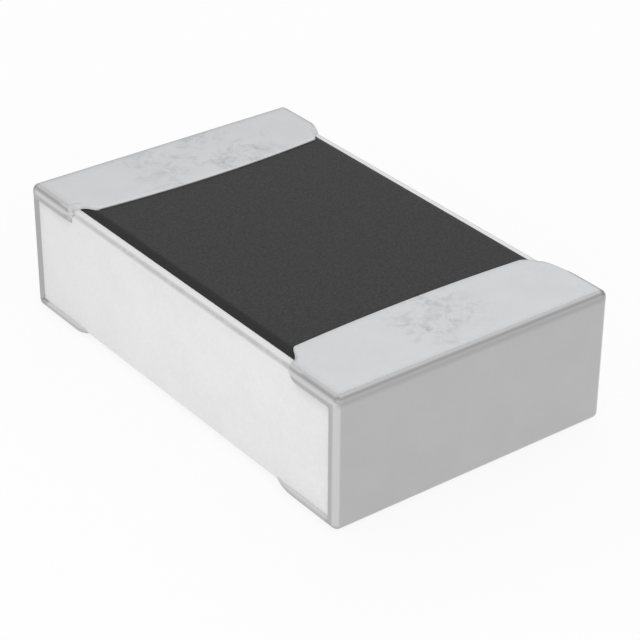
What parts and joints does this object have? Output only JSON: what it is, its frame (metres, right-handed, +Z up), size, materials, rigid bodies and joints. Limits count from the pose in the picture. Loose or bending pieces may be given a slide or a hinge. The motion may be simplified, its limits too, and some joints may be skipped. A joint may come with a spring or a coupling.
{
  "type": "smd chip resistor",
  "caption": "Surface-mount thick-film chip resistor: white ceramic block with a black overcoat and wraparound tin-plated end terminations for soldering flat to a board.",
  "frame": {"origin": "middle of the chip's underside, in the plane of its solder pads", "axes": "+X along the chip to its right end, +Y across it to the back long side, +Z up through the overcoat"},
  "size_m": [0.002, 0.0012, 0.0005],
  "materials": {
    "ceramic": "matt white fired alumina, finely mottled",
    "resistive_film": "dark fired metal-oxide film, hidden",
    "glass_glaze": "thin green-grey fired glass, hidden",
    "overcoat": "matt black epoxy print with a fine grain",
    "silver": "dull fired silver paste, hidden",
    "nickel": "satin plated nickel, hidden",
    "tin": "satin matte-plated tin with soft mottling"
  },
  "bodies": {
    "root": {"ceramic_substrate": "ceramic", "resistive_film": "resistive_film", "glass_layer": "glass_glaze", "overcoat": "overcoat", "left_top_electrode": "silver", "right_top_electrode": "silver", "left_bottom_electrode": "silver", "right_bottom_electrode": "silver", "left_end_electrode": "silver", "right_end_electrode": "silver", "left_nickel_barrier": "nickel", "right_nickel_barrier": "nickel", "left_tin_termination": "tin", "right_tin_termination": "tin"}
  },
  "joints": []
}
